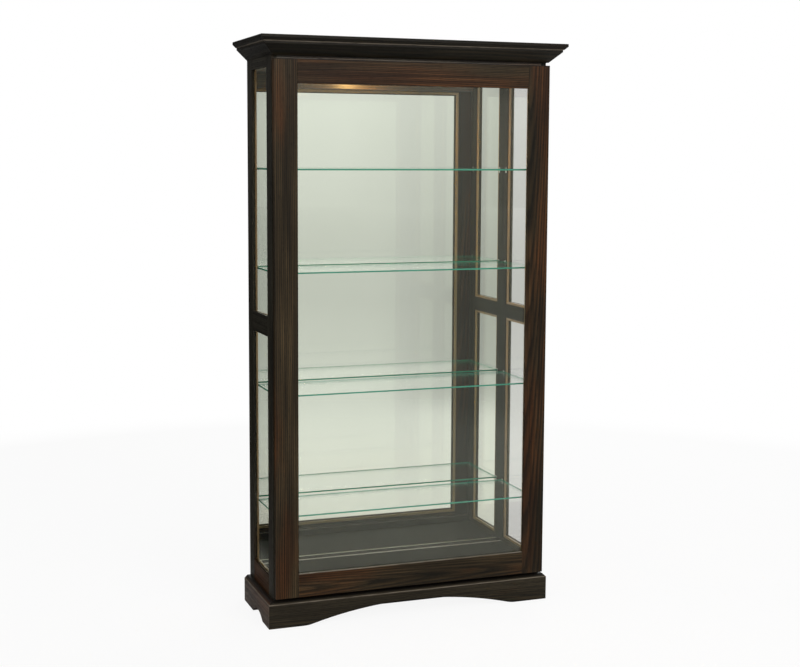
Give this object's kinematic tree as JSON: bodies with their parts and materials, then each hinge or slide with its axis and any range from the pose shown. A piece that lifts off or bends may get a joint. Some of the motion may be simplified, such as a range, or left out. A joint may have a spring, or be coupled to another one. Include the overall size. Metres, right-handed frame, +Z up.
{
  "type": "curio cabinet",
  "caption": "Tall glass-fronted display cabinet with a sliding framed front, glass sides, mirrored back, glass shelves and an angled crown.",
  "frame": {"origin": "on the floor, under the middle of the cabinet's overall width and depth", "axes": "+X to the right along the front, +Y from the front to the mirrored back, +Z up"},
  "size_m": [1.12, 0.404, 2.032],
  "materials": {
    "stained_oak": "near-black brown satin stain on open-grain oak",
    "back_panel_wood": "thin stained plywood, matte",
    "raw_wood": "unstained hardwood",
    "retainer_strip": "light tan strip, satin",
    "window_glass": "clear float glass",
    "shelf_glass": "clear glass with green polished edges",
    "mirror": "silvered glass",
    "zinc_steel": "bright zinc plate",
    "nickel": "satin nickel plate",
    "light_metal": "spun, matte",
    "light_trim": "satin",
    "light_lens": "frosted",
    "light_board": "matte board",
    "black_rubber": "matte"
  },
  "bodies": {
    "cabinet": {"back_bottom_rail": "stained_oak", "back_panel": "back_panel_wood", "back_panel_screws": "zinc_steel", "base_corner_blocks": "raw_wood", "base_front": "stained_oak", "base_left": "stained_oak", "base_right": "stained_oak", "cabinet_slide_screws": "zinc_steel", "ceiling_panel": "stained_oak", "cord_grommet": "black_rubber", "crown_backer": "stained_oak", "crown_front": "stained_oak", "crown_left": "stained_oak", "crown_right": "stained_oak", "deck_panel": "stained_oak", "front_bottom_rail": "stained_oak", "front_top_rail": "stained_oak", "glass_shelf_1": "shelf_glass", "glass_shelf_2": "shelf_glass", "glass_shelf_3": "shelf_glass", "glass_shelf_4": "shelf_glass", "left_back_stile": "stained_oak", "left_bottom_rail": "stained_oak", "left_front_stile": "stained_oak", "left_lower_glass": "window_glass", "left_lower_glass_retainers": "retainer_strip", "left_middle_rail": "stained_oak", "left_top_rail": "stained_oak", "left_upper_glass": "window_glass", "left_upper_glass_retainers": "retainer_strip", "light_board": "light_board", "light_housing": "light_metal", "light_lens": "light_lens", "light_trim_ring": "light_trim", "lower_slide_cabinet_member": "zinc_steel", "mirror": "mirror", "right_back_stile": "stained_oak", "right_bottom_rail": "stained_oak", "right_front_stile": "stained_oak", "right_lower_glass": "window_glass", "right_lower_glass_retainers": "retainer_strip", "right_middle_rail": "stained_oak", "right_top_rail": "stained_oak", "right_upper_glass": "window_glass", "right_upper_glass_retainers": "retainer_strip", "shelf_supports": "nickel", "upper_slide_cabinet_member": "zinc_steel"},
    "door": {"door_left_stile": "stained_oak", "door_right_stile": "stained_oak", "door_top_rail": "stained_oak", "door_bottom_rail": "stained_oak", "door_glass": "window_glass", "door_glass_retainers": "retainer_strip", "upper_slide_door_member": "zinc_steel", "lower_slide_door_member": "zinc_steel", "door_slide_screws": "zinc_steel"},
    "slide_middle": {"upper_slide_middle_member": "zinc_steel", "lower_slide_middle_member": "zinc_steel"},
    "slide_outer_balls": {"slide_outer_ball_cages": "zinc_steel"},
    "slide_inner_balls": {"slide_inner_ball_cages": "zinc_steel"}
  },
  "joints": [
    {"name": "door_slide", "type": "slide", "parent": "cabinet", "child": "door", "axis": [1, 0, 0], "range_m": [-0.457, 0.457]},
    {"name": "middle_member_slide", "type": "slide", "parent": "cabinet", "child": "slide_middle", "axis": [1, 0, 0], "range_m": [-0.2285, 0.2285]},
    {"name": "outer_ball_roll", "type": "slide", "parent": "cabinet", "child": "slide_outer_balls", "axis": [1, 0, 0], "range_m": [-0.11425, 0.11425]},
    {"name": "inner_ball_roll", "type": "slide", "parent": "cabinet", "child": "slide_inner_balls", "axis": [1, 0, 0], "range_m": [-0.34275, 0.34275]}
  ],
  "couplings": [
    {"joint": "middle_member_slide", "follows": "door_slide", "ratio": 0.5},
    {"joint": "outer_ball_roll", "follows": "door_slide", "ratio": 0.25},
    {"joint": "inner_ball_roll", "follows": "door_slide", "ratio": 0.75}
  ]
}
